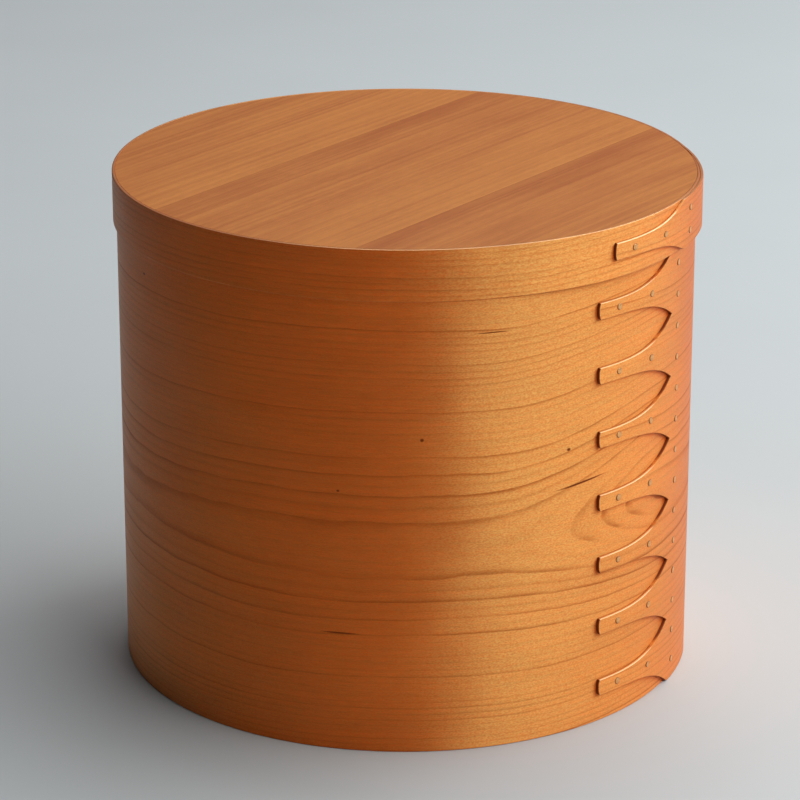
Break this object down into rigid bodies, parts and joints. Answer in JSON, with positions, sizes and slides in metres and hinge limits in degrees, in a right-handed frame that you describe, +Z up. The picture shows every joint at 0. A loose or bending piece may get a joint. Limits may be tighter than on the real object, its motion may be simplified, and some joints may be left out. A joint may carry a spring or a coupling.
{
  "type": "bentwood pantry box",
  "caption": "Tall round bentwood box with a lift-off lid, its bands lapped with swallowtail fingers and copper tacks, for dry goods.",
  "frame": {"origin": "on the axis of the round box, in the plane that it stands on", "axes": "+Z up along the axis, +X to the right and -Y to the front as pictured; the lap faces the front right"},
  "size_m": [0.3303, 0.3278, 0.287],
  "materials": {
    "box_band_cherry": "satin oil and lacquer over flat-sawn cherry",
    "lid_band_cherry": "satin oil and lacquer over straight-grained cherry",
    "board_cherry": "satin oil and lacquer over cherry leaves",
    "board_core": "bare plywood",
    "copper": "tarnished copper"
  },
  "bodies": {
    "box": {"box_band": "box_band_cherry", "base_backing": "board_cherry", "base_core": "board_core", "base_leaf_left": "board_cherry", "base_leaf_middle": "board_cherry", "base_leaf_right": "board_cherry", "finger_1_tacks": "copper", "finger_2_tacks": "copper", "finger_3_tacks": "copper", "finger_4_tacks": "copper", "finger_5_tacks": "copper", "finger_6_tacks": "copper", "finger_7_tacks": "copper"},
    "lid": {"lid_band": "lid_band_cherry", "lid_lining": "board_cherry", "lid_core": "board_core", "lid_leaf_left": "board_cherry", "lid_leaf_middle": "board_cherry", "lid_leaf_right": "board_cherry", "lid_tacks": "copper"}
  },
  "joints": [
    {"name": "lid_lift", "type": "slide", "parent": "box", "child": "lid", "axis": [0, 0, 1], "range_m": [0, 0.15]}
  ]
}
